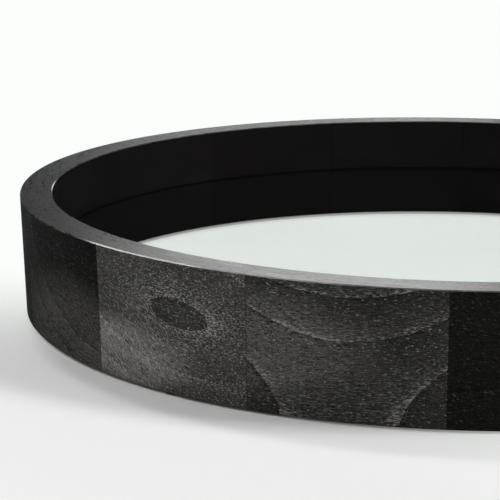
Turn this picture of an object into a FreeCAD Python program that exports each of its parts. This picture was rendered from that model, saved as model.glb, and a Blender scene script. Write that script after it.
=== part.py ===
# Round serving tray: a ring of glued wooden staves around a mirror floor.
#
# Lengths are in millimetres and angles in degrees. Z points up. The origin is on the
# surface that the tray stands on, on the axis of the ring.
import FreeCAD
import Part
import Sketcher
import os

# Driving sizes: name in the sheet, value, meaning.
SIZES = [
    ("rim_diameter", 457.0, "outer diameter of the ring at its rim"),
    ("foot_inset", 2.5, "how far the outer face leans in, on the radius, from rim to foot"),
    ("wall_thickness", 16.5, "width of the rim"),
    ("wall_height", 61.5, "height of the ring"),
    ("stave_count", 16, "number of staves in the ring"),
    ("rim_ease", 0.5, "bevel on the two edges of the rim"),
    ("foot_chamfer", 0.8, "bevel on the two edges of the foot"),
    ("mirror_depth", 29.0, "from the rim down to the face of the mirror"),
    ("mirror_gap", 0.5, "clearance between the glass and the wall"),
    ("glass_thickness", 4.0, "thickness of the mirror glass"),
    ("glass_arris", 0.5, "ground bevel on the edges of the glass"),
    ("silver_thickness", 0.2, "silver and backing paint under the glass"),
    ("tape_thickness", 1.5, "thickness of the mounting tape"),
    ("tape_side", 25.0, "side of one square of mounting tape"),
    ("tape_circle", 150.0, "radius of the circle that the tape squares lie on"),
    ("tape_count", 8, "number of tape squares on that circle"),
    ("board_thickness", 9.0, "thickness of the base board"),
    ("board_gap", 0.3, "clearance between the board's edge and the groove's bottom"),
    ("groove_depth", 6.0, "depth of the staves' groove, which holds the board"),
    ("felt_diameter", 10.0, "diameter of one felt pad"),
    ("felt_thickness", 1.0, "thickness of the felt pads"),
    ("felt_count", 8, "number of felt pads"),
]

# Radii and heights that several pieces share, as expressions of the sheet.
RIM_RADIUS = "(Sizes.rim_diameter / 2)"
FOOT_RADIUS = f"({RIM_RADIUS} - Sizes.foot_inset)"
WELL_RADIUS = f"({RIM_RADIUS} - Sizes.wall_thickness)"
GROOVE_RADIUS = f"({WELL_RADIUS} + Sizes.groove_depth)"
GLASS_RADIUS = f"({WELL_RADIUS} - Sizes.mirror_gap)"
FELT_CIRCLE = f"(({FOOT_RADIUS} + {WELL_RADIUS}) / 2)"
FOOT_LEVEL = "(Sizes.felt_thickness)"
RIM_LEVEL = f"({FOOT_LEVEL} + Sizes.wall_height)"
GLASS_TOP = f"({RIM_LEVEL} - Sizes.mirror_depth)"
GLASS_UNDERSIDE = f"({GLASS_TOP} - Sizes.glass_thickness)"
SILVER_UNDERSIDE = f"({GLASS_UNDERSIDE} - Sizes.silver_thickness)"
BOARD_TOP = f"({SILVER_UNDERSIDE} - Sizes.tape_thickness)"
BOARD_UNDERSIDE = f"({BOARD_TOP} - Sizes.board_thickness)"
STAVE_ANGLE = "(360 deg / Sizes.stave_count)"

FULL_TURN = 360.0
ON_THE_SPOT = 1e-4


def make_sheet(doc):
    """Put the driving sizes in a spreadsheet, one alias to a row."""
    sheet = doc.addObject("Spreadsheet::Sheet", "Sizes")
    for row, (alias, value, meaning) in enumerate(SIZES, start=1):
        sheet.set(f"A{row}", alias)
        sheet.set(f"B{row}", str(value))
        sheet.set(f"C{row}", meaning)
        sheet.setAlias(f"B{row}", alias)
    doc.recompute()
    return sheet


def size(doc, expression):
    """Return the value of an expression of the sheet, as a plain number."""
    value = doc.Sizes.evalExpression(expression)
    return float(getattr(value, "Value", value))


def count(doc, alias):
    """Return a whole number from the sheet."""
    return int(round(size(doc, f"Sizes.{alias}")))


def bind(item, **expressions):
    """Tie properties of an object to the sheet."""
    for name, expression in expressions.items():
        item.setExpression(name, expression)


def raise_to(item, level):
    """Set an object on a level, by its Placement."""
    item.setExpression("Placement.Base.z", level)


def new_body(doc, label):
    """Add an empty body that carries its node's name."""
    body = doc.addObject("PartDesign::Body", label)
    body.Label = label
    return body


def new_sketch(body, name, role):
    """Add a sketch on one of the body's own origin planes."""
    planes = [item for item in body.Origin.OriginFeatures if item.Role == role]
    sketch = body.newObject("Sketcher::SketchObject", name)
    sketch.AttachmentSupport = (planes[0], [""])
    sketch.MapMode = "FlatFace"
    return sketch


def draw_outline(doc, sketch, corners):
    """Draw a closed outline whose corners are pairs of expressions, and fix each corner."""
    points = [FreeCAD.Vector(size(doc, across), size(doc, up), 0) for across, up in corners]
    for index, start in enumerate(points):
        end = points[(index + 1) % len(points)]
        sketch.addGeometry(Part.LineSegment(start, end))
    for index, (across, up) in enumerate(corners):
        following = (index + 1) % len(corners)
        sketch.addConstraint(Sketcher.Constraint("Coincident", index, 2, following, 1))
        fix_distance(sketch, "DistanceX", index, points[index].x, across)
        fix_distance(sketch, "DistanceY", index, points[index].y, up)


def fix_distance(sketch, kind, line, value, expression):
    """Hold the start of a line at a distance from the origin, tied to the sheet."""
    number = sketch.addConstraint(Sketcher.Constraint(kind, -1, 1, line, 1, value))
    sketch.setExpression(f"Constraints[{number}]", expression)


def rings_at(shape, level):
    """Name the round edges about the Z axis that lie on a level."""
    names = []
    for number, edge in enumerate(shape.Edges, start=1):
        on_level = all(abs(vertex.Z - level) < ON_THE_SPOT for vertex in edge.Vertexes)
        if on_level and isinstance(edge.Curve, Part.Circle):
            names.append(f"Edge{number}")
    return names


def make_stave(doc, label, place):
    """One stave: a sector of the ring, grooved inside for the base board.

    The stave lies across the X axis and is turned to its place in the ring. The first
    joint of the ring is on the X axis, and neighbours meet face to face.
    """
    body = new_body(doc, label)

    section = new_sketch(body, f"{label}_section", "XZ_Plane")
    draw_outline(doc, section, [
        (WELL_RADIUS, FOOT_LEVEL),
        (FOOT_RADIUS, FOOT_LEVEL),
        (RIM_RADIUS, RIM_LEVEL),
        (WELL_RADIUS, RIM_LEVEL),
    ])
    blank = body.newObject("PartDesign::Revolution", f"{label}_blank")
    blank.Profile = section
    blank.ReferenceAxis = (section, ["V_Axis"])
    blank.Midplane = True
    bind(blank, Angle=STAVE_ANGLE)
    doc.recompute()

    slot = new_sketch(body, f"{label}_slot", "XZ_Plane")
    draw_outline(doc, slot, [
        (f"{WELL_RADIUS} - Sizes.groove_depth", BOARD_UNDERSIDE),
        (GROOVE_RADIUS, BOARD_UNDERSIDE),
        (GROOVE_RADIUS, BOARD_TOP),
        (f"{WELL_RADIUS} - Sizes.groove_depth", BOARD_TOP),
    ])
    groove = body.newObject("PartDesign::Groove", f"{label}_groove")
    groove.Profile = slot
    groove.ReferenceAxis = (slot, ["V_Axis"])
    groove.Angle = FULL_TURN
    doc.recompute()

    ease = body.newObject("PartDesign::Chamfer", f"{label}_rim_ease")
    ease.Base = (groove, rings_at(groove.Shape, size(doc, RIM_LEVEL)))
    bind(ease, Size="Sizes.rim_ease")
    doc.recompute()

    bevel = body.newObject("PartDesign::Chamfer", f"{label}_foot_bevel")
    bevel.Base = (ease, rings_at(ease.Shape, size(doc, FOOT_LEVEL)))
    bind(bevel, Size="Sizes.foot_chamfer")

    body.Placement = FreeCAD.Placement(FreeCAD.Vector(), FreeCAD.Vector(0, 0, 1), 1)
    body.setExpression("Placement.Rotation.Angle", f"{STAVE_ANGLE} * ({place} + 0.5)")
    return body


def make_disc(doc, label, radius, thickness, level):
    """A flat round piece, centred on the axis, with its underside on a level."""
    body = new_body(doc, label)
    outline = new_sketch(body, f"{label}_outline", "XY_Plane")
    start = size(doc, radius)
    outline.addGeometry(Part.Circle(FreeCAD.Vector(), FreeCAD.Vector(0, 0, 1), start))
    outline.addConstraint(Sketcher.Constraint("Coincident", 0, 3, -1, 1))
    number = outline.addConstraint(Sketcher.Constraint("Radius", 0, start))
    outline.setExpression(f"Constraints[{number}]", radius)
    plate = body.newObject("PartDesign::Pad", f"{label}_plate")
    plate.Profile = outline
    bind(plate, Length=thickness)
    raise_to(body, level)
    return body


def make_board(doc):
    """The base board, held all round in the staves' groove."""
    radius = f"{GROOVE_RADIUS} - Sizes.board_gap"
    return make_disc(doc, "base_board", radius, "Sizes.board_thickness", BOARD_UNDERSIDE)


def make_silvering(doc):
    """The silver and its backing paint, up to the bevel of the glass."""
    radius = f"{GLASS_RADIUS} - Sizes.glass_arris"
    return make_disc(doc, "mirror_silvering", radius, "Sizes.silver_thickness", SILVER_UNDERSIDE)


def make_glass(doc):
    """The mirror glass, with both edges ground."""
    body = make_disc(doc, "mirror_glass", GLASS_RADIUS, "Sizes.glass_thickness", GLASS_UNDERSIDE)
    doc.recompute()
    plate = body.Tip
    arris = body.newObject("PartDesign::Chamfer", "mirror_glass_arris")
    edges = rings_at(plate.Shape, 0.0) + rings_at(plate.Shape, size(doc, "Sizes.glass_thickness"))
    arris.Base = (plate, edges)
    bind(arris, Size="Sizes.glass_arris")
    return body


def make_tape(doc):
    """Squares of mounting tape between the board and the mirror: a circle and the centre."""
    squares = []
    for number in range(count(doc, "tape_count") + 1):
        square = doc.addObject("Part::Box", f"tape_square_{number}")
        bind(square, Length="Sizes.tape_side", Width="Sizes.tape_side", Height="Sizes.tape_thickness")
        turn = f"(360 deg / Sizes.tape_count * {number})"
        reach = "Sizes.tape_circle" if number else "0"
        square.setExpression("Placement.Base.x", f"{reach} * cos({turn}) - Sizes.tape_side / 2")
        square.setExpression("Placement.Base.y", f"{reach} * sin({turn}) - Sizes.tape_side / 2")
        raise_to(square, BOARD_TOP)
        squares.append(square)
    return group(doc, "mounting_tape", squares)


def make_felts(doc):
    """Felt pads under the foot of the ring, each in the middle of its width."""
    pads = []
    for number in range(count(doc, "felt_count")):
        pad = doc.addObject("Part::Cylinder", f"felt_{number + 1}")
        bind(pad, Radius="Sizes.felt_diameter / 2", Height="Sizes.felt_thickness")
        turn = f"(360 deg / Sizes.felt_count * {number} + {STAVE_ANGLE} / 2)"
        pad.setExpression("Placement.Base.x", f"{FELT_CIRCLE} * cos({turn})")
        pad.setExpression("Placement.Base.y", f"{FELT_CIRCLE} * sin({turn})")
        pads.append(pad)
    return group(doc, "foot_felts", pads)


def group(doc, label, pieces):
    """Hold like pieces together as one node of separate solids."""
    compound = doc.addObject("Part::Compound", label)
    compound.Label = label
    compound.Links = pieces
    return compound


def check(doc, nodes):
    """Stop if any object failed, or any node has no valid solid."""
    for item in doc.Objects:
        if "Invalid" in item.State or "Error" in item.State:
            raise RuntimeError(f"{item.Name} failed: {item.State}")
    for node in nodes:
        if node.Shape.isNull() or not node.Shape.isValid() or not node.Shape.Solids:
            raise RuntimeError(f"{node.Label} has no valid solid")


def main():
    """Build the tray and write one STEP file for each node."""
    doc = FreeCAD.newDocument("ServingTray")
    make_sheet(doc)
    nodes = []
    for place in range(count(doc, "stave_count")):
        nodes.append(make_stave(doc, f"stave_{place + 1:02d}", place))
    nodes.append(make_board(doc))
    nodes.append(make_tape(doc))
    nodes.append(make_silvering(doc))
    nodes.append(make_glass(doc))
    nodes.append(make_felts(doc))
    doc.recompute()
    check(doc, nodes)
    os.makedirs("parts", exist_ok=True)
    for node in nodes:
        node.Shape.exportStep(f"parts/{node.Label}.step")
        print(node.Label, "solids", len(node.Shape.Solids), "volume", round(node.Shape.Volume, 1))


main()
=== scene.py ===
"""Looks of a round serving tray: black-stained wooden staves around a sunk mirror.

Lengths are in metres unless a name ends in _mm, and the frame is the part's own: Z up,
the origin on the table at the centre of the ring.
"""
import logging
import math
import random
from dataclasses import dataclass, field
from enum import Enum

import bmesh
import bpy
from mathutils import Matrix, Quaternion, Vector


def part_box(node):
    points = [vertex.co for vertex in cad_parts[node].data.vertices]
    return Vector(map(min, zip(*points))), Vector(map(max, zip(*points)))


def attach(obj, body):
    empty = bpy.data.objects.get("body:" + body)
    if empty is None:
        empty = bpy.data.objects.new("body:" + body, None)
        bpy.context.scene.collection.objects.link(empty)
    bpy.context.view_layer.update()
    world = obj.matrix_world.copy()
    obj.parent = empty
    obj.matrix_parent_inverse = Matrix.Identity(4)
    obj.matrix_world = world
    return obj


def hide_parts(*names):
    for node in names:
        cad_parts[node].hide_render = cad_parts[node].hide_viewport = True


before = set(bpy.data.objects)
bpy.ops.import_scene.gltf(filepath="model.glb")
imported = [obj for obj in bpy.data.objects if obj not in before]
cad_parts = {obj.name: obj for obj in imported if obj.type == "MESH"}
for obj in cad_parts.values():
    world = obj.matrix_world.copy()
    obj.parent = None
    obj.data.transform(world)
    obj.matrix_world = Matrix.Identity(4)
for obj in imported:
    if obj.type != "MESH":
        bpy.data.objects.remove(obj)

LOG = logging.getLogger("tray")
BODY = "root"
MM = 0.001
WELD = 1e-6
SHARP_CORNER = math.radians(35)
# Room between the base board's edge and the bottom of its groove.
BOARD_GAP = 0.3 * MM
# How upright a face's normal is when the face counts as level.
LEVEL_FACE = 0.99
# How much red a grey gains, and how much blue it loses, when it is fully warm.
WARM_RED, WARM_BLUE = 0.3, 1.7

Pair = tuple[float, float]
Triple = tuple[float, float, float]
Colour = tuple[float, float, float, float]
Socket = bpy.types.NodeSocket
Material = bpy.types.Material


# ---- camera


@dataclass
class View:
    """The camera, placed about the axis of the ring.

    Args:
        azimuth: where it stands, in degrees about Z.
        reach: its distance from the axis.
        rise: its height above the rim.
        pan: how far it turns from the axis, in degrees, to the left when positive.
        pitch: how far it looks down, in degrees.
        roll: turn about its own axis, in degrees.
        lens_mm: its focal length.
        sensor_mm: the width of its sensor.
        nearest: how near a thing may be and still be seen.
    """

    azimuth: float = -89.44
    reach: float = 1.0289
    rise: float = 0.1981
    pan: float = 6.09
    pitch: float = 12.84
    roll: float = 0.26
    lens_mm: float = 143.1
    sensor_mm: float = 36.0
    nearest: float = 0.01

    def place(self, rim_level: float) -> None:
        """Add the camera and make it the scene's own.

        Args:
            rim_level: height of the rim above the table.
        """
        lens = bpy.data.cameras.new("camera")
        lens.lens = self.lens_mm
        lens.sensor_width = self.sensor_mm
        lens.clip_start = self.nearest
        camera = bpy.data.objects.new("camera", lens)
        turn = math.radians(self.azimuth)
        spot = Vector((math.cos(turn), math.sin(turn), 0.0)) * self.reach
        spot.z = rim_level + self.rise
        heading = turn + math.pi + math.radians(self.pan)
        upright = Matrix.Rotation(heading - math.pi / 2, 4, "Z")
        tilt = Matrix.Rotation(math.pi / 2 - math.radians(self.pitch), 4, "X")
        lean = Matrix.Rotation(math.radians(self.roll), 4, "Z")
        camera.matrix_world = Matrix.Translation(spot) @ upright @ tilt @ lean
        bpy.context.collection.objects.link(camera)
        bpy.context.scene.camera = camera


# ---- shader building


class Value:
    """A number inside a material, with Python's arithmetic on it."""

    def __init__(self, graph: "Graph", socket: Socket) -> None:
        """Wrap an output socket of the graph."""
        self.graph = graph
        self.socket = socket

    def __add__(self, other: "Value | float") -> "Value":
        """Return the sum."""
        return self.graph.maths("ADD", self, other)

    __radd__ = __add__

    def __sub__(self, other: "Value | float") -> "Value":
        """Return the difference."""
        return self.graph.maths("SUBTRACT", self, other)

    def __rsub__(self, other: float) -> "Value":
        """Return the difference the other way round."""
        return self.graph.maths("SUBTRACT", other, self)

    def __mul__(self, other: "Value | float") -> "Value":
        """Return the product."""
        return self.graph.maths("MULTIPLY", self, other)

    __rmul__ = __mul__

    def __truediv__(self, other: "Value | float") -> "Value":
        """Return the quotient."""
        return self.graph.maths("DIVIDE", self, other)

    def fraction(self) -> "Value":
        """Return what is left after whole numbers are taken away."""
        return self.graph.maths("FRACT", self)

    def root(self) -> "Value":
        """Return the square root."""
        return self.graph.maths("SQRT", self)

    def size(self) -> "Value":
        """Return the number without its sign."""
        return self.graph.maths("ABSOLUTE", self)

    def larger(self, other: "Value") -> "Value":
        """Return the larger of two numbers."""
        return self.graph.maths("MAXIMUM", self, other)

    def rise(self, low: float, high: float) -> "Value":
        """Return a smooth step up, from 0 to 1.

        Args:
            low: the number where it leaves 0.
            high: the number where it reaches 1.

        Returns:
            The step.
        """
        settings = {"interpolation_type": "SMOOTHSTEP"}
        slots = {"Value": self, "From Min": low, "From Max": high}
        node = self.graph.node("ShaderNodeMapRange", settings, slots)
        return Value(self.graph, node.outputs["Result"])

    def fall(self, low: float, high: float) -> "Value":
        """Return a smooth step down, from 1 at low to 0 at high."""
        return 1.0 - self.rise(low, high)


@dataclass(frozen=True)
class Noise:
    """A pattern that never repeats.

    Args:
        cell: length of one of its cells along each axis, in millimetres.
        offset: moves it, so that two of them differ.
        detail: how many finer layers are added.
    """

    cell: Triple
    offset: float = 0.0
    detail: float = 1.0


class Place:
    """A place on a piece, as a vector inside its material."""

    # How far a noise is moved along each axis, as a share of its shift.
    MOVE = (1.0, 0.37, -1.0)

    def __init__(self, graph: "Graph", socket: Socket) -> None:
        """Wrap an output socket of the graph."""
        self.graph = graph
        self.socket = socket

    def split(self) -> list[Value]:
        """Return its three numbers."""
        node = self.graph.node("ShaderNodeSeparateXYZ", None, {"Vector": self})
        return [Value(self.graph, part) for part in node.outputs]

    def turn(self, angle: float) -> "Place":
        """Return the place turned about the first axis."""
        return self.graph.mapped(self, {"Rotation": (angle, 0.0, 0.0)})

    def grain(self, noise: Noise, shift: float = 0.0) -> Value:
        """Add a noise.

        Args:
            noise: the kind of noise.
            shift: moves it further than its own offset does.

        Returns:
            A number of about 0 to 1.
        """
        mapped = self.graph.mapped(self, {
            "Scale": tuple(1.0 / length for length in noise.cell),
            "Location": tuple(share * (shift + noise.offset) for share in self.MOVE),
        })
        made = self.graph.node("ShaderNodeTexNoise", {"noise_dimensions": "3D"}, {
            "Vector": mapped, "Scale": 1.0, "Detail": noise.detail, "Roughness": 0.5,
        })
        return Value(self.graph, made.outputs[0])


class Graph:
    """The node tree of one material or world."""

    # The colour sockets of a Mix node.
    MIX_FACTOR, MIX_LOW, MIX_HIGH = 0, 6, 7
    MIX_RESULT = 2

    def __init__(self, tree: bpy.types.NodeTree) -> None:
        """Start from an empty tree."""
        self.tree = tree
        self.tree.nodes.clear()

    def node(self, kind: str, settings: dict | None = None, slots: dict | None = None) -> bpy.types.Node:
        """Add a node, set it and fill its inputs.

        Args:
            kind: the node's type.
            settings: its own properties, set before the inputs.
            slots: what each named or numbered input is set or linked to.

        Returns:
            The node.
        """
        made = self.tree.nodes.new(kind)
        for name, setting in (settings or {}).items():
            setattr(made, name, setting)
        for name, content in (slots or {}).items():
            self.fill(made.inputs[name], content)
        return made

    def fill(self, socket: Socket, content: object) -> None:
        """Link an input, or set its own value.

        Args:
            socket: the input.
            content: a Value, a Place or an output to link it to, or its own value.
        """
        if isinstance(content, (Value, Place)):
            content = content.socket
        if isinstance(content, Socket):
            self.tree.links.new(content, socket)
        else:
            socket.default_value = content

    def maths(self, operation: str, *inputs: Value | float) -> Value:
        """Return the result of a Math node with these inputs in order."""
        node = self.node("ShaderNodeMath", {"operation": operation}, dict(enumerate(inputs)))
        return Value(self, node.outputs[0])

    def join(self, *parts: Value) -> Place:
        """Return the place that has these three numbers."""
        return Place(self, self.node("ShaderNodeCombineXYZ", None, dict(enumerate(parts))).outputs[0])

    def mapped(self, place: Place | Socket, slots: dict) -> Place:
        """Return a place scaled, turned and moved as the other inputs say."""
        slots = {"Vector": place, **slots}
        return Place(self, self.node("ShaderNodeMapping", {"vector_type": "POINT"}, slots).outputs[0])

    def blend(self, mask: Value | float, low: object, high: object) -> Socket:
        """Return a colour between two, by a mask."""
        slots = {self.MIX_FACTOR: mask, self.MIX_LOW: low, self.MIX_HIGH: high}
        return self.node("ShaderNodeMix", {"data_type": "RGBA"}, slots).outputs[self.MIX_RESULT]

    def cover(self, mask: Value | Socket, under: Socket, over: Socket) -> Socket:
        """Return one shader where a mask is 0 and another where it is 1."""
        return self.node("ShaderNodeMixShader", None, {0: mask, 1: under, 2: over}).outputs[0]

    def bump(self, height: Value, distance: float, strength: float) -> Socket:
        """Return a normal that is roughened by a height."""
        slots = {"Height": height, "Distance": distance, "Strength": strength}
        return self.node("ShaderNodeBump", None, slots).outputs[0]


class Finish:
    """A material under construction."""

    def __init__(self, name: str) -> None:
        """Add an empty material.

        Args:
            name: what it is called.
        """
        self.material = bpy.data.materials.new(name)
        self.material.use_nodes = True
        self.graph = Graph(self.material.node_tree)

    def place(self, turn: float = 0.0) -> Place:
        """Return the place on the piece, turned about Z by an angle."""
        here = self.graph.node("ShaderNodeTexCoord").outputs["Object"]
        return self.graph.mapped(here, {"Rotation": (0.0, 0.0, turn), "Scale": (1 / MM,) * 3})

    def surface(self, slots: dict) -> Material:
        """Close the material with a Principled shader.

        Args:
            slots: the shader's inputs.

        Returns:
            The material.
        """
        shader = self.graph.node("ShaderNodeBsdfPrincipled", None, slots)
        self.output(shader.outputs[0])
        return self.material

    def output(self, shader: Socket) -> None:
        """Send a shader to the material's output."""
        self.graph.node("ShaderNodeOutputMaterial", None, {"Surface": shader})


# ---- finishes


def grey(level: float, warmth: float = 0.0) -> Colour:
    """Return a linear grey, a little yellow when warmth is above zero."""
    return (level * (1.0 + WARM_RED * warmth), level, level * (1.0 - WARM_BLUE * warmth), 1.0)


@dataclass(frozen=True)
class Wall:
    """Sizes of the tray's wall.

    Args:
        rim_radius: outer radius at the rim.
        foot_radius: outer radius at the foot, before its bevel.
        well_radius: inner radius.
        rim_level: height of the rim.
        foot_level: height of the foot.
    """

    rim_radius: float
    foot_radius: float
    well_radius: float
    rim_level: float
    foot_level: float

    @property
    def taper(self) -> float:
        """How far the outer face leans outwards for each step up."""
        return (self.rim_radius - self.foot_radius) / (self.rim_level - self.foot_level)


@dataclass(frozen=True, kw_only=True)
class Board:
    """How one stave was sawn from its log, and how it took the stain.

    Args:
        pith_mm: how far the log's heart lies outside the outer face, or inside it below zero.
        heart_mm: height of the heart above the middle of the wall.
        lean: fall of the log's axis along the stave.
        swirl: how steeply the fibres part round the heart, before it along the stave.
        veer: how the log's axis draws in towards the face along the stave.
        ring_mm: width of one year's growth.
        start: where in a year's growth the face begins, from 0 to 1.
        sway_mm: how far the growth wanders from a true circle.
        fade: how much fainter the rings grow away from the heart, from 0 to 1.
        tone: linear lightness of the stained wood between its pores.
        pale: the same where the stain took least.
        pores: how much of the early wood is open pores, from 0 to 1.
        specks: how strongly the fine pores of the later wood show, from 0 to 1.
        dash_mm: length of a pore as the face cuts it.
        cloud: where along it, and how high, the stain took least, and how far that reaches; board 9's
            lies low and is also a painted reflection of the floor there.
        depth: how far it reaches up and down, as a share of its reach along the stave.
        rim: linear lightness of the rim; the boards in known_boards set it darker on the left and
            lighter at the front, painting part of the rim's sheen.
        shift: moves the fine grain, so that no two staves match.
    """

    pith_mm: float
    heart_mm: float
    lean: float = 0.0
    swirl: float = 0.0
    veer: float = 0.0
    ring_mm: float
    start: float
    sway_mm: float
    fade: float = 0.0
    tone: float
    pale: float
    pores: float
    specks: float = 0.5
    dash_mm: float
    cloud: Triple
    depth: float = 0.5
    rim: float
    shift: float


@dataclass(frozen=True)
class Pore:
    """One kind of pore that a face cuts open.

    Args:
        width_mm: how wide it is.
        length: how long it is, where 1 is the board's own length of a pore.
        early: the part of a year's growth over which it grows scarce.
        crowding: how much more of them the early wood has.
        opening: where in the noise a pore begins, and where it is fully open.
        offset: moves the noise.
    """

    width_mm: float
    length: float
    early: Pair
    crowding: float
    opening: Pair
    offset: float = 0.0


class WoodPart(Enum):
    """Which faces of a stave a finish is for."""

    FACE = 0
    RIM = 1
    EASED_EDGE = 2


@dataclass(frozen=True)
class StainedWood:
    """Open-pored wood under a black stain: growth rings, pores, cleaner rim, and a darker wall inside
    that is painted shade of the well.

    A place on the stave is how far out, how far along and how high it lies.

    Args:
        board: how the stave was sawn, and how it took the stain.
        wall: the sizes of the wall.
        azimuth: where the middle of the stave stands, in radians about Z.
        half_angle: half the angle that the stave takes up, in radians.
        parting_mm: how long before the heart its fibres begin to part.
        heart_line_mm: half the height of the line between those that part.
        fading_years: how many years from the face the rings begin to grow faint, and end.
        late: where in a year's growth the wood darkens, and where that ends.
        winter: the same for the dark line that closes the year.
        bare: how dark and how light the wood is between its pores, as shares of its tone.
        missed: the same where the stain took least.
        seam_mm: how far from a joint the glue line begins to fade, and where it ends.
        well_shade_mm: the same for the painted shade on the wall inside, from the well outwards.
        chipped_mm: the same for the chips, from the rim down.
        fine, large: the two kinds of pores.
        slow_sway, quick_sway: wander of the growth rings.
        gathering: where the large pores gather.
        fibre, grit, patch: how much wood shows through the stain between the pores.
        chip: chips below the rim.
        streak, scratch: sanding marks on the rim.
        wear, nick: the rubbed places of the eased edges, whose paleness also paints part of their
            highlight, and the damaged places.
        inky: colour of the stain in joints and nicks.
        well_shade: colour of the wall inside, painted as the shade of the well.
        raw: colour of chipped wood.
        worn_and_highlight: colour of rubbed wood, pale enough to paint part of the eased edges'
            highlight too.
    """

    board: Board
    wall: Wall
    azimuth: float
    half_angle: float
    parting_mm: float = 9.0
    heart_line_mm: float = 0.3
    fading_years: Pair = (1.3, 2.0)
    late: Pair = (0.55, 0.95)
    winter: Pair = (0.90, 0.985)
    bare: Pair = (0.35, 1.75)
    missed: Pair = (0.15, 2.45)
    seam_mm: Pair = (0.05, 0.3)
    well_shade_mm: Pair = (0.1, 0.5)
    chipped_mm: Pair = (0.6, 1.5)

    fine: Pore = Pore(0.36, 1.6, (0.0, 0.7), 0.12, (0.62, 0.74))
    large: Pore = Pore(0.55, 1.3, (0.02, 0.15), 0.21, (0.66, 0.73), 29.0)

    slow_sway: Noise = Noise((30.0, 70.0, 30.0))
    quick_sway: Noise = Noise((9.0, 22.0, 9.0), 9.0)
    gathering: Noise = Noise((14.0, 30.0, 9.0), 17.0)
    fibre: Noise = Noise((0.40, 6.0, 0.40), 3.0)
    grit: Noise = Noise((0.36, 0.9, 0.36), 7.0)
    patch: Noise = Noise((14.0, 34.0, 14.0), 5.0)
    chip: Noise = Noise((0.4, 1.1, 0.4), 13.0)
    streak: Noise = Noise((0.55, 14.0, 0.55), 11.0, 2.0)
    scratch: Noise = Noise((0.45, 4.0, 0.45), 15.0)
    wear_and_highlight: Noise = Noise((0.7, 6.0, 0.7), 19.0, 2.0)
    nick: Noise = Noise((0.6, 1.2, 0.6), 21.0)

    inky: Colour = grey(0.0035, 0.06)
    # Painted shade of the well: the wall inside takes this one dark colour.
    well_shade: Colour = (0.0135, 0.0118, 0.0122, 1.0)
    raw: Colour = grey(0.16, 0.02)
    # Rubbed wood, which also paints part of the eased edges' highlight.
    worn_and_highlight: Colour = grey(0.13, 0.02)

    @property
    def middle_mm(self) -> float:
        """Height of the middle of the wall."""
        return (self.wall.rim_level + self.wall.foot_level) / 2 / MM

    def grain(self, place: Place, noise: Noise) -> Value:
        """Return a noise, moved as far as this stave's board asks."""
        return place.grain(noise, self.board.shift)

    def above_heart(self, along: Value, level: Value) -> Value:
        """Return how far above the log's heart a place lies."""
        return level + along * self.board.lean - (self.middle_mm + self.board.heart_mm)

    def seam(self, radial: Value, along: Value) -> Value:
        """Return where the stave meets the next one, from 0 to 1."""
        return (math.tan(self.half_angle) * radial - along.size()).fall(*self.seam_mm)

    def season(self, place: Place) -> tuple[Value, Value]:
        """Work out the growth rings as the stave cuts them.

        Args:
            place: places on the stave.

        Returns:
            How far into its year's growth the wood is, and how clearly the ring shows.
        """
        board, wall = self.board, self.wall
        radial, along, level = place.split()
        slow = self.grain(place, self.slow_sway)
        quick = self.grain(place, self.quick_sway)
        sway = (slow - 0.5) * (4.0 * board.sway_mm) + (quick - 0.5) * board.sway_mm
        face = (level - wall.rim_level / MM) * wall.taper + wall.rim_radius / MM
        outwards = radial - face + along * board.veer + sway - board.pith_mm
        upwards = self.above_heart(along, level)
        radius = (outwards * outwards + upwards * upwards).root()
        years = (radius - abs(board.pith_mm)) / board.ring_mm + board.start
        return years.fraction(), 1.0 - years.rise(*self.fading_years) * board.fade

    def fibres(self, place: Place) -> Place:
        """Straighten places along the fibres, which lean and may part round the heart.

        Args:
            place: places on the stave.

        Returns:
            The same places, with the fibres level.
        """
        board = self.board
        if not board.swirl:
            return place.turn(math.atan(board.lean))
        radial, along, level = place.split()
        upwards = self.above_heart(along, level)
        before = ((along * along + self.parting_mm ** 2).root() - along) * 0.5
        side = upwards.rise(-self.heart_line_mm, self.heart_line_mm) * 2.0 - 1.0
        return place.graph.join(radial, along, upwards + before * side * board.swirl)

    def opened(self, fibres: Place, pore: Pore, crowd: Value) -> Value:
        """Find where pores of one kind are cut open.

        Args:
            fibres: places along the fibres.
            pore: the kind of pore.
            crowd: where they stand close together, from 0 to 1.

        Returns:
            How far a pore is open, from 0 to 1.
        """
        cell = (pore.width_mm, self.board.dash_mm * pore.length, pore.width_mm)
        noise = self.grain(fibres, Noise(cell, pore.offset))
        return (noise + crowd * (pore.crowding * self.board.pores)).rise(*pore.opening)

    def pores(self, place: Place, season: Value, clear: Value) -> Value:
        """Find where the face cuts pores open: large ones after each winter, fine ones later.

        Args:
            place: places on the stave.
            season: how far into its year's growth the wood is.
            clear: how clearly the rings show.

        Returns:
            How far a pore is open, from 0 to 1.
        """
        fibres = self.fibres(place)
        early = season.fall(*self.fine.early) * clear + (1.0 - clear) * 0.6
        gathered = self.grain(place, self.gathering).rise(0.30, 0.62)
        crowd = season.fall(*self.large.early) * (0.35 + 0.65 * gathered) * clear
        fine = self.opened(fibres, self.fine, early)
        large = self.opened(fibres, self.large, crowd)
        return (fine * self.board.specks).larger(large)

    def tone(self, place: Place, season: Value, clear: Value) -> Value:
        """Work out how much wood shows through the stain between the pores.

        Args:
            place: places on the stave.
            season: how far into its year's growth the wood is.
            clear: how clearly the rings show.

        Returns:
            A number of about 0 to 1.
        """
        fibres = self.fibres(place)
        fibre = self.grain(fibres, self.fibre)
        grit = self.grain(fibres, self.grit)
        patch = self.grain(place, self.patch)
        late = season.rise(*self.late) * 0.08 + season.rise(*self.winter) * 0.18
        return fibre * 1.5 + grit * 1.7 + patch * 0.4 - late * clear - 1.3

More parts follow.
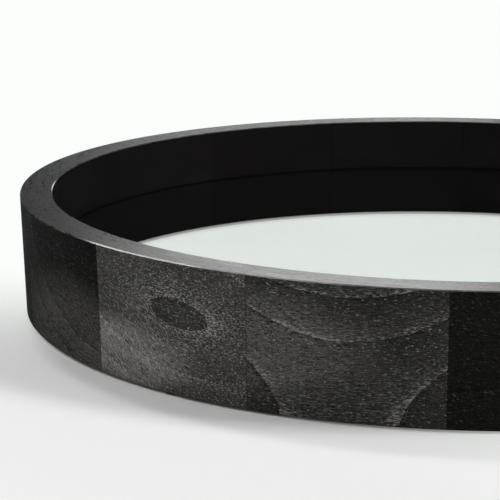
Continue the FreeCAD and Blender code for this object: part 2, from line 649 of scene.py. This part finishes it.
    def cloud(self, place: Place) -> Value:
        """Find where the stain took least.

        Args:
            place: places on the stave.

        Returns:
            How little stain there is, from 0 to 1.
        """
        _, along, level = place.split()
        middle, height, reach = self.board.cloud
        across = (along - middle) / reach
        upwards = (level - (self.middle_mm + height)) / (reach * self.board.depth)
        return (across * across + upwards * upwards).fall(0.0, 1.0)

    def shade(self, tone: Value, lightness: float, shares: Pair) -> Socket:
        """Return the wood's colour between a dark and a light share of its lightness."""
        dark, light = (grey(lightness * share, 0.05) for share in shares)
        return tone.graph.blend(tone, dark, light)

    def face(self, name: str) -> Material:
        """Make the finish of the walls and the sawn faces.

        Args:
            name: what the material is called.

        Returns:
            The material.
        """
        finish = Finish(name)
        graph = finish.graph
        board = self.board
        place = finish.place(-self.azimuth)
        radial, along, level = place.split()
        season, clear = self.season(place)
        pore = self.pores(place, season, clear)
        tone = self.tone(place, season, clear)
        cloud = self.cloud(place) * 0.9
        seam = self.seam(radial, along)
        well, rim = self.wall.well_radius / MM, self.wall.rim_level / MM
        inside = radial.fall(well + self.well_shade_mm[0], well + self.well_shade_mm[1])
        upper = level.rise(rim - self.chipped_mm[1], rim - self.chipped_mm[0])
        chip = upper * self.grain(place, self.chip).rise(0.64, 0.72) * (1.0 - inside)

        stained = self.shade(tone, board.tone, self.bare)
        pale = self.shade(tone, board.pale, self.missed)
        colour = graph.blend(cloud, stained, pale)
        grain = graph.blend(cloud, grey(board.tone * 6.0 + 0.045, 0.03), grey(board.pale * 3.8, 0.03))
        open_grain = pore * (0.25 + 0.75 * board.pores) * (1.0 - inside * 0.85)
        colour = graph.blend(open_grain, colour, grain)
        # Painted shade: the wall inside the well takes one dark colour.
        colour = graph.blend(inside * 0.9, colour, self.well_shade)
        colour = graph.blend(chip * 0.25, colour, self.raw)
        return finish.surface({
            "Base Color": graph.blend(seam * 0.6, colour, self.inky),
            "Roughness": 0.66 - pore * 0.1 + inside * 0.1,
            "Specular IOR Level": 0.02,
            "Normal": graph.bump(tone * 0.4 - pore - chip, 0.1 * MM, 0.5),
        })

    def rim(self, name: str) -> Material:
        """Make the finish of the rim, sanded smoother than the walls.

        Args:
            name: what the material is called.

        Returns:
            The material.
        """
        finish = Finish(name)
        graph = finish.graph
        place = finish.place(-self.azimuth)
        radial, along, _ = place.split()
        seam = self.seam(radial, along)
        streak = self.grain(place, self.streak)
        scratch = self.grain(place, self.scratch)
        shown = (streak * 0.6 + scratch * 0.4).rise(0.32, 0.68)
        colour = graph.blend(shown, grey(self.board.rim * 0.6), grey(self.board.rim * 1.5))
        return finish.surface({
            "Base Color": graph.blend(seam * 0.5, colour, self.inky),
            "Roughness": 0.25 + shown * 0.16,
            "Normal": graph.bump(shown, 0.1 * MM, 0.18),
        })

    def eased_edge(self, name: str) -> Material:
        """Make the finish of the eased edges: smooth, with small nicks, and rubbed pale in places, a
        paleness that also paints part of their highlight.

        Args:
            name: what the material is called.

        Returns:
            The material.
        """
        finish = Finish(name)
        graph = finish.graph
        place = finish.place(-self.azimuth)
        radial, along, _ = place.split()
        seam = self.seam(radial, along)
        wear_and_highlight = self.grain(place, self.wear_and_highlight).rise(0.25, 0.75)
        nick = self.grain(place, self.nick).rise(0.66, 0.74)
        # Pale where the edge is rubbed, which also paints part of its highlight.
        colour = graph.blend(wear_and_highlight, grey(self.board.rim * 1.3), self.worn_and_highlight)
        colour = graph.blend(nick * 0.8, colour, self.inky)
        return finish.surface({
            "Base Color": graph.blend(seam * 0.5, colour, self.inky),
            "Roughness": 0.14 + nick * 0.2,
            "Specular IOR Level": 0.9,
            "Normal": graph.bump(wear_and_highlight * 0.2 - nick, 0.1 * MM, 0.10),
        })

    def build(self, name: str) -> list[Material]:
        """Make the finishes of one stave, in the order of WoodPart."""
        makers = (self.face, self.rim, self.eased_edge)
        return [make(f"{name}_{part.name.lower()}") for make, part in zip(makers, WoodPart)]


class GlassPart(Enum):
    """Which faces of the mirror a finish is for."""

    FACE = 0
    SILVER = 1
    GROUND_EDGE = 2

    @staticmethod
    def of(normal: Vector) -> "GlassPart":
        """Tell which part a face belongs to.

        Args:
            normal: the way the face looks.

        Returns:
            The part.
        """
        if normal.z > LEVEL_FACE:
            return GlassPart.FACE
        if normal.z < -LEVEL_FACE:
            return GlassPart.SILVER
        return GlassPart.GROUND_EDGE


@dataclass(frozen=True)
class SilveredGlass:
    """Float glass with a silver coat on its underside and a ground edge."""

    ior: float = 1.52
    tint: Colour = (0.965, 0.995, 0.97, 1.0)
    wiped: Colour = (0.925, 0.942, 0.925, 1.0)
    silver: Colour = (0.93, 0.945, 0.935, 1.0)
    dull_silver: Colour = (0.90, 0.915, 0.905, 1.0)
    # Near black on the ground edge: painted shade of the gap between glass and wall.
    dark: Colour = grey(0.002)
    pale: Colour = grey(0.02)
    smear: Noise = Noise((80.0, 50.0, 50.0), 2.0, 3.0)
    cloud: Noise = Noise((100.0, 100.0, 100.0), 7.0, 2.0)
    grit: Noise = Noise((0.4, 0.4, 0.4), 5.0, 2.0)

    def build(self) -> list[Material]:
        """Make the finishes of the mirror, in the order of GlassPart."""
        return [self.face(), self.coat(), self.edge()]

    def face(self) -> Material:
        """Make the clear glass, with the least haze of wiping on its face.

        Returns:
            The material.
        """
        finish = Finish("clear_glass")
        graph = finish.graph
        smear = finish.place().grain(self.smear)
        return finish.surface({
            "Base Color": graph.blend(smear.rise(0.4, 0.8), self.tint, self.wiped),
            "Roughness": 0.0,
            "IOR": self.ior,
            "Transmission Weight": 1.0,
        })

    def coat(self) -> Material:
        """Make the silver under the glass.

        Returns:
            The material.
        """
        finish = Finish("silver_coat")
        graph = finish.graph
        cloud = finish.place().grain(self.cloud)
        return finish.surface({
            "Base Color": graph.blend(cloud, self.silver, self.dull_silver),
            "Roughness": 0.0,
            "Metallic": 1.0,
        })

    def edge(self) -> Material:
        """Make the ground edge, painted dark as the shade in the gap between glass and wall.

        Returns:
            The material.
        """
        finish = Finish("ground_edge")
        graph = finish.graph
        grit = finish.place().grain(self.grit)
        return finish.surface({
            "Base Color": graph.blend(grit.rise(0.5, 0.85), self.dark, self.pale),
            "Roughness": 0.75 + grit * 0.2,
            "Specular IOR Level": 0.05,
            "Normal": graph.bump(grit, 0.05 * MM, 0.5),
        })


@dataclass(frozen=True)
class StainedFibreboard:
    """Smooth fibreboard under the same black stain."""

    dark: Colour = grey(0.020)
    pale: Colour = grey(0.038, 0.02)
    fleck: Noise = Noise((1.1, 1.1, 1.1), 4.0, 3.0)
    brush: Noise = Noise((20.0, 1.6, 1.6), 1.0, 2.0)

    def build(self) -> Material:
        """Make the material.

        Returns:
            The material.
        """
        finish = Finish("stained_fibreboard")
        graph = finish.graph
        place = finish.place()
        fleck = place.grain(self.fleck)
        brushed = place.grain(self.brush)
        mixed = fleck * 0.6 + brushed * 0.4
        return finish.surface({
            "Base Color": graph.blend(mixed.rise(0.3, 0.7), self.dark, self.pale),
            "Roughness": 0.62 + brushed * 0.12,
            "Normal": graph.bump(fleck, 0.1 * MM, 0.4),
        })


@dataclass(frozen=True)
class FoamTape:
    """White foam mounting tape."""

    dark: Colour = grey(0.60)
    pale: Colour = grey(0.78)
    bubble: Noise = Noise((0.4, 0.4, 0.4))

    def build(self) -> Material:
        """Make the material.

        Returns:
            The material.
        """
        finish = Finish("foam_tape")
        graph = finish.graph
        bubble = finish.place().grain(self.bubble)
        return finish.surface({
            "Base Color": graph.blend(bubble, self.dark, self.pale),
            "Roughness": 0.75 + bubble * 0.1,
            "Normal": graph.bump(bubble, 0.1 * MM, 0.5),
        })


@dataclass(frozen=True)
class WoolFelt:
    """Pressed black felt."""

    dark: Colour = grey(0.012)
    pale: Colour = grey(0.05)
    fibre: Noise = Noise((0.8, 0.2, 0.8), 0.0, 3.0)
    crossing: Noise = Noise((0.2, 0.8, 0.8), 6.0, 3.0)

    def build(self) -> Material:
        """Make the material.

        Returns:
            The material.
        """
        finish = Finish("wool_felt")
        graph = finish.graph
        place = finish.place()
        fuzz = place.grain(self.fibre) * 0.5 + place.grain(self.crossing) * 0.5
        return finish.surface({
            "Base Color": graph.blend(fuzz.rise(0.35, 0.65), self.dark, self.pale),
            "Roughness": 0.95,
            "Sheen Weight": 0.3,
            "Normal": graph.bump(fuzz, 0.2 * MM, 0.7),
        })


# ---- pieces


def finish_piece(mesh: bmesh.types.BMesh, name: str, finishes: list[Material]) -> bpy.types.Object:
    """Turn a bmesh into a smooth-shaded piece with sharp corners kept.

    Args:
        mesh: the shape, in the part's frame.
        name: the piece's name.
        finishes: its materials, in the order of the faces' numbers.

    Returns:
        The object, which rides on the tray.
    """
    bmesh.ops.remove_doubles(mesh, verts=mesh.verts, dist=WELD)
    bmesh.ops.recalc_face_normals(mesh, faces=mesh.faces)
    data = bpy.data.meshes.new(name)
    mesh.to_mesh(data)
    mesh.free()
    data.shade_smooth()
    data.set_sharp_from_angle(angle=SHARP_CORNER)
    for material in finishes:
        data.materials.append(material)
    piece = bpy.data.objects.new(name, data)
    bpy.context.collection.objects.link(piece)
    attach(piece, BODY)
    LOG.info("%s: %d faces", name, len(data.polygons))
    return piece


@dataclass
class Ring:
    """The wall of the tray: staves glued into a ring, turned inside and outside.

    Args:
        nodes: the staves' names, in their order round the ring.
        wall: the sizes of the wall.
        groove_radius: radius of the bottom of the groove.
        board_levels: heights of the groove's two flat faces.
        chosen: the boards that are listed, by their place in the ring.
        rim_ease: how far the corners of the rim are eased.
        foot_bevel: how far the corners of the foot are bevelled.
        steps: flat faces along one stave.
        seed: of the draw that chooses the other boards.
    """

    nodes: list[str]
    wall: Wall
    groove_radius: float
    board_levels: Pair
    chosen: dict[int, Board]
    rim_ease: float = 0.5 * MM
    foot_bevel: float = 0.8 * MM
    steps: int = 28
    seed: int = 18

    @property
    def stave_angle(self) -> float:
        """Angle that one stave takes up."""
        return 2 * math.pi / len(self.nodes)

    def section(self) -> list[Pair]:
        """List the corners of a stave's section, with the groove for the board.

        Returns:
            The radius and the height of each corner.
        """
        wall = self.wall
        under, over = self.board_levels
        return [
            (wall.well_radius, wall.foot_level),
            (wall.foot_radius, wall.foot_level),
            (wall.rim_radius, wall.rim_level),
            (wall.well_radius, wall.rim_level),
            (wall.well_radius, over),
            (self.groove_radius, over),
            (self.groove_radius, under),
            (wall.well_radius, under),
        ]

    def soften(self, mesh: bmesh.types.BMesh) -> None:
        """Ease the section's corners at the rim and the foot.

        Args:
            mesh: the section.
        """
        sizes = {self.wall.rim_level: self.rim_ease, self.wall.foot_level: self.foot_bevel}
        for level, size in sizes.items():
            corners = [spot for spot in mesh.verts if abs(spot.co.z - level) < WELD]
            bmesh.ops.bevel(
                mesh, geom=corners, offset=size, affect="VERTICES", segments=1,
                profile=0.5, material=-1,
            )

    def part_of(self, face: bmesh.types.BMFace) -> WoodPart:
        """Tell which finish a face takes, by how high its lowest corner lies.

        Args:
            face: the face.

        Returns:
            The part of the stave that it belongs to.
        """
        lowest = min(corner.co.z for corner in face.verts)
        if lowest > self.wall.rim_level - WELD:
            return WoodPart.RIM
        if lowest > self.wall.rim_level - self.rim_ease - WELD:
            return WoodPart.EASED_EDGE
        return WoodPart.FACE

    def stave(self, number: int, finishes: list[Material]) -> None:
        """Model one stave and put it in its place.

        Args:
            number: its place in the ring, from 0.
            finishes: its materials, in the order of WoodPart.
        """
        mesh = bmesh.new()
        mesh.faces.new([mesh.verts.new((radius, 0.0, level)) for radius, level in self.section()])
        self.soften(mesh)
        bmesh.ops.spin(
            mesh, geom=mesh.verts[:] + mesh.edges[:] + mesh.faces[:], cent=(0, 0, 0),
            axis=(0, 0, 1), angle=self.stave_angle, steps=self.steps,
            use_merge=False, use_duplicate=False,
        )
        turn = Matrix.Rotation(self.stave_angle * number, 3, "Z")
        bmesh.ops.rotate(mesh, cent=(0, 0, 0), matrix=turn, verts=mesh.verts)
        for face in mesh.faces:
            face.material_index = self.part_of(face).value
        piece = finish_piece(mesh, f"ring_{self.nodes[number]}", finishes)
        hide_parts(self.nodes[number])

    def boards(self) -> list[Board]:
        """Choose the board of each stave: the listed one where it is known, else by a seeded draw.

        Returns:
            The boards, in the order of the staves.
        """
        draw = random.Random(self.seed)
        picked = []
        for number in range(len(self.nodes)):
            tone = draw.uniform(0.008, 0.036)
            board = Board(
                pith_mm=draw.choice((-1, 1)) * draw.uniform(40, 120),
                heart_mm=draw.uniform(-40, 40),
                lean=draw.uniform(-0.15, 0.15),
                veer=draw.uniform(-0.04, 0.04),
                ring_mm=draw.uniform(4.0, 7.5),
                start=draw.random(),
                sway_mm=draw.uniform(0.3, 0.9),
                fade=draw.uniform(0.0, 0.5),
                tone=tone,
                pale=tone * 2.2,
                pores=draw.uniform(0.4, 0.9),
                dash_mm=draw.uniform(1.2, 2.6),
                cloud=(draw.uniform(-40, 40), draw.uniform(-20, 20), draw.uniform(20, 40)),
                rim=draw.uniform(0.020, 0.035),
                shift=draw.uniform(0, 400),
            )
            picked.append(self.chosen.get(number, board))
        return picked

    def build(self) -> None:
        """Model and dress every stave."""
        for number, board in enumerate(self.boards()):
            azimuth = self.stave_angle * (number + 0.5)
            wood = StainedWood(board, self.wall, azimuth, self.stave_angle / 2)
            self.stave(number, wood.build(f"stained_wood_{number + 1:02d}"))


@dataclass
class Mirror:
    """The mirror: one slab of glass whose underside is silvered.

    Args:
        radius: of the slab.
        underside: height of its underside.
        face: height of its face.
        arris: how far its edges are ground off.
        segments: flat faces round its edge.
    """

    radius: float
    underside: float
    face: float
    arris: float = 0.5 * MM
    segments: int = 360

    def build(self) -> None:
        """Model the slab, with ground edges, and silver its underside."""
        mesh = bmesh.new()
        thickness = self.face - self.underside
        bmesh.ops.create_cone(
            mesh, cap_ends=True, cap_tris=False, segments=self.segments,
            radius1=self.radius, radius2=self.radius, depth=thickness,
        )
        middle = Vector((0, 0, self.underside + thickness / 2))
        bmesh.ops.translate(mesh, vec=middle, verts=mesh.verts)
        rims = [edge for edge in mesh.edges if abs(edge.verts[0].co.z - edge.verts[1].co.z) < WELD]
        bmesh.ops.bevel(
            mesh, geom=rims, offset=self.arris, affect="EDGES", segments=1,
            profile=0.5, material=-1,
        )
        mesh.normal_update()
        for face in mesh.faces:
            face.material_index = GlassPart.of(face.normal).value
        piece = finish_piece(mesh, "mirror", SilveredGlass().build())
        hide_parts("mirror_glass", "mirror_silvering")


@dataclass
class Underside:
    """What lies under the mirror: board, tape and felts, as the frame has them.

    Args:
        finishes: the finish of each node.
    """

    finishes: dict[str, StainedFibreboard | FoamTape | WoolFelt] = field(default_factory=lambda: {
        "base_board": StainedFibreboard(),
        "mounting_tape": FoamTape(),
        "foot_felts": WoolFelt(),
    })

    def dress(self) -> None:
        """Give each piece its material."""
        for node, finish in self.finishes.items():
            material = finish.build()
            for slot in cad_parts[node].material_slots:
                slot.material = material
            LOG.info("%s dressed", node)


# ---- studio


@dataclass
class Lamp:
    """One soft lamp that looks at the tray.

    Args:
        name: its name.
        azimuth: where it stands, in degrees about Z.
        rise: how high it stands as seen from the tray, in degrees.
        reach: its distance from the tray.
        spread: its width and height.
        level: how brightly it lights a face that looks straight at it, where 1 is full.
        roll: how far it is turned about the line to the tray, in degrees.
        shines: whether smooth faces show it as a highlight.
    """

    name: str
    azimuth: float
    rise: float
    reach: float
    spread: Pair
    level: float
    roll: float = 0.0
    shines: bool = True

    def place(self, target: Vector) -> None:
        """Add the lamp and aim it.

        Args:
            target: the place that it looks at.
        """
        light = bpy.data.lights.new(self.name, "AREA")
        light.shape = "RECTANGLE"
        light.size, light.size_y = self.spread
        light.energy = self.level * (math.pi * self.reach) ** 2
        lamp = bpy.data.objects.new(self.name, light)
        turn, rise = math.radians(self.azimuth), math.radians(self.rise)
        towards = Vector((
            math.cos(rise) * math.cos(turn), math.cos(rise) * math.sin(turn), math.sin(rise),
        ))
        lamp.location = target + towards * self.reach
        aim = (-towards).to_track_quat("-Z", "Y") @ Quaternion((0, 0, 1), math.radians(self.roll))
        lamp.rotation_euler = aim.to_euler()
        lamp.visible_glossy = self.shines
        lamp.visible_transmission = False
        bpy.context.collection.objects.link(lamp)


@dataclass
class Studio:
    """Pale table, white surroundings and soft lamps.

    Args:
        table_size: length of the table's sides.
        pool: the spot round which the table shows its own paint and the tray's shadow.
        near_white: distance from that spot where the table starts to fade to white.
        all_white: distance where it is all white.
        ambient: strength of the surroundings as light on dull faces.
        dull_shine: their strength in the shine of dull faces.
        mirrored: their strength in the mirror.
        paint: colour of the table.
        white: colour of the surroundings.
        shade: colour of the light that they throw on dull faces.
        lamps: the lamps.
    """

    table_size: float = 12.0
    pool: Triple = (-0.28, -0.44, 0.0)
    near_white: float = 0.28
    all_white: float = 0.50
    ambient: float = 0.07
    dull_shine: float = 0.03
    mirrored: float = 0.90
    paint: Colour = (0.915, 0.92, 0.915, 1.0)
    white: Colour = (0.956, 1.0, 0.965, 1.0)
    shade: Colour = (1.0, 0.88, 0.95, 1.0)
    lamps: list[Lamp] = field(default_factory=lambda: [
        Lamp("key", -3.0, 43.0, 4.0, (0.95, 0.95), 0.46, shines=False),
        Lamp("overhead", 121.0, 63.5, 3.0, (0.4, 0.4), 0.19, shines=False),
        Lamp("ceiling", 60.0, 87.0, 3.0, (2.4, 2.4), 0.15, shines=False),
        Lamp("back_window", 96.5, 23.0, 1.9, (0.55, 0.32), 0.09),
        Lamp("horizon", 92.7, 5.4, 1.93, (0.12, 0.26), 0.0045, roll=45.0),
        Lamp("side_glint", 171.9, 39.3, 1.535, (0.07, 0.77), 0.06, roll=-50.2),
        Lamp("front_glint", 202.2, 55.1, 1.535, (0.07, 0.81), 0.03, roll=-56.1),
        Lamp("front_fill", -110.0, 42.0, 1.8, (0.6, 0.6), 0.27, shines=False),
    ])

    def build(self, target: Vector) -> None:
        """Add the table, the surroundings and the lamps.

        Args:
            target: the place that the lamps look at.
        """
        self.table()
        self.world()
        for lamp in self.lamps:
            lamp.place(target)

    def table(self) -> None:
        """Add the table top that the tray stands on."""
        mesh = bmesh.new()
        bmesh.ops.create_grid(mesh, x_segments=1, y_segments=1, size=self.table_size / 2)
        data = bpy.data.meshes.new("table_top")
        mesh.to_mesh(data)
        mesh.free()
        data.materials.append(self.table_finish())
        table = bpy.data.objects.new("table_top", data)
        bpy.context.collection.objects.link(table)

    def table_finish(self) -> Material:
        """Make the table's finish: it fades to white far off and is clear from below.

        Returns:
            The material.
        """
        finish = Finish("pale_table")
        graph = finish.graph
        paint = graph.node("ShaderNodeBsdfDiffuse", None, {"Color": self.paint}).outputs[0]
        glow = graph.node("ShaderNodeEmission", None, {"Color": self.white}).outputs[0]
        clear = graph.node("ShaderNodeBsdfTransparent").outputs[0]
        camera = Value(graph, graph.node("ShaderNodeLightPath").outputs["Is Camera Ray"])
        below = graph.node("ShaderNodeNewGeometry").outputs["Backfacing"]
        here = graph.node("ShaderNodeTexCoord").outputs["Object"]
        length = graph.node("ShaderNodeVectorMath", {"operation": "DISTANCE"}, {0: here, 1: self.pool})
        away = Value(graph, length.outputs["Value"]).rise(self.near_white, self.all_white)
        finish.output(graph.cover(below, graph.cover(camera * away, paint, glow), clear))
        return finish.material

    def world(self) -> None:
        """Light the room softly, and show it white to the camera and in the mirror."""
        world = bpy.data.worlds.new("studio")
        bpy.context.scene.world = world
        world.use_nodes = True
        graph = Graph(world.node_tree)
        outputs = graph.node("ShaderNodeLightPath").outputs
        path = {name: Value(graph, output) for name, output in outputs.items()}
        camera = path["Is Camera Ray"]
        sharp = path["Is Singular Ray"].larger(path["Is Transmission Ray"])
        dull = path["Is Glossy Ray"] * (1.0 - sharp)
        bare = 1.0 - camera.larger(sharp.larger(dull))
        strength = camera + sharp * self.mirrored + dull * self.dull_shine + bare * self.ambient
        slots = {"Color": graph.blend(bare, self.white, self.shade), "Strength": strength}
        sky = graph.node("ShaderNodeBackground", None, slots)
        graph.node("ShaderNodeOutputWorld", None, {"Surface": sky.outputs[0]})


# ---- assembly


def known_boards() -> dict[int, Board]:
    """Describe the staves whose figure is known.

    Returns:
        Their boards, by their place in the ring from 0.
    """
    return {
        # Their rims run from dark on the left to light at the front: painted sheen on top of each
        # board's own tone.
        8: Board(
            pith_mm=-90, heart_mm=10, lean=0.3, ring_mm=8.0, start=0.3, sway_mm=0.4, fade=0.2,
            tone=0.005, pale=0.012, pores=0.20, specks=0.4, dash_mm=1.6,
            cloud=(0, -26, 50), rim=0.016, shift=37.0,
        ),
        # Its pale cloud lies low: the stave's lighter lower part is partly a painted reflection of the
        # floor.
        9: Board(
            pith_mm=48, heart_mm=19, lean=0.38, veer=0.09, ring_mm=9.0, start=0.30, sway_mm=0.5,
            tone=0.007, pale=0.050, pores=0.50, dash_mm=2.0,
            cloud=(16, -28, 80), depth=0.55, rim=0.016, shift=57.0,
        ),
        10: Board(
            pith_mm=38.7, heart_mm=8.9, lean=0.12, swirl=0.7, veer=0.033, ring_mm=8.0, start=0.95,
            sway_mm=0.2, fade=0.45, tone=0.047, pale=0.146, pores=0.74, specks=0.92, dash_mm=1.1,
            cloud=(-36, -16, 64), depth=0.29, rim=0.035, shift=23.0,
        ),
        11: Board(
            pith_mm=-125, heart_mm=-31.5, veer=-0.008, ring_mm=6.9, start=0.228, sway_mm=0.3,
            tone=0.028, pale=0.062, pores=0.95, specks=0.40, dash_mm=1.8,
            cloud=(-46, 1, 68), depth=0.44, rim=0.050, shift=11.0,
        ),
        12: Board(
            pith_mm=-110, heart_mm=12, lean=0.3, ring_mm=8.0, start=0.60, sway_mm=0.4,
            tone=0.009, pale=0.014, pores=0.30, specks=0.3, dash_mm=2.2,
            cloud=(20, -5, 26), rim=0.045, shift=71.0,
        ),
    }


def measure_ring(nodes: list[str]) -> Ring:
    """Read the ring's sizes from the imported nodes.

    Args:
        nodes: the staves' names, in their order round the ring.

    Returns:
        The ring, ready to build.
    """
    spots = [vertex.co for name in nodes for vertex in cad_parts[name].data.vertices]
    levels = sorted({round(spot.z, 6) for spot in spots})
    radii = sorted({round(spot.xy.length, 6) for spot in spots})
    foot_level, bevel_level = levels[0], levels[1]
    wall = Wall(
        rim_radius=radii[-1],
        foot_radius=max(spot.xy.length for spot in spots if abs(spot.z - bevel_level) < WELD),
        well_radius=radii[0],
        rim_level=levels[-1],
        foot_level=foot_level,
    )
    board_low, board_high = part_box("base_board")
    groove_radius = board_high.x + BOARD_GAP
    return Ring(nodes, wall, groove_radius, (board_low.z, board_high.z), known_boards())


def main() -> None:
    """Build the camera, the tray's pieces and the studio, sized from the boxes of the base board and the
    mirror glass.
    """
    logging.basicConfig(level=logging.INFO, format="%(name)s %(message)s")
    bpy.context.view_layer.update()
    staves = sorted(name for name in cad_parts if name.startswith("stave_"))
    ring = measure_ring(staves)
    View().place(ring.wall.rim_level)
    ring.build()
    glass_low, glass_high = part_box("mirror_glass")
    Mirror(radius=glass_high.x, underside=glass_low.z, face=glass_high.z).build()
    Underside().dress()
    Studio().build(Vector((0.0, 0.0, ring.wall.rim_level / 2)))
    bpy.context.scene.view_settings.view_transform = "Standard"


if __name__ == "__main__":
    main()
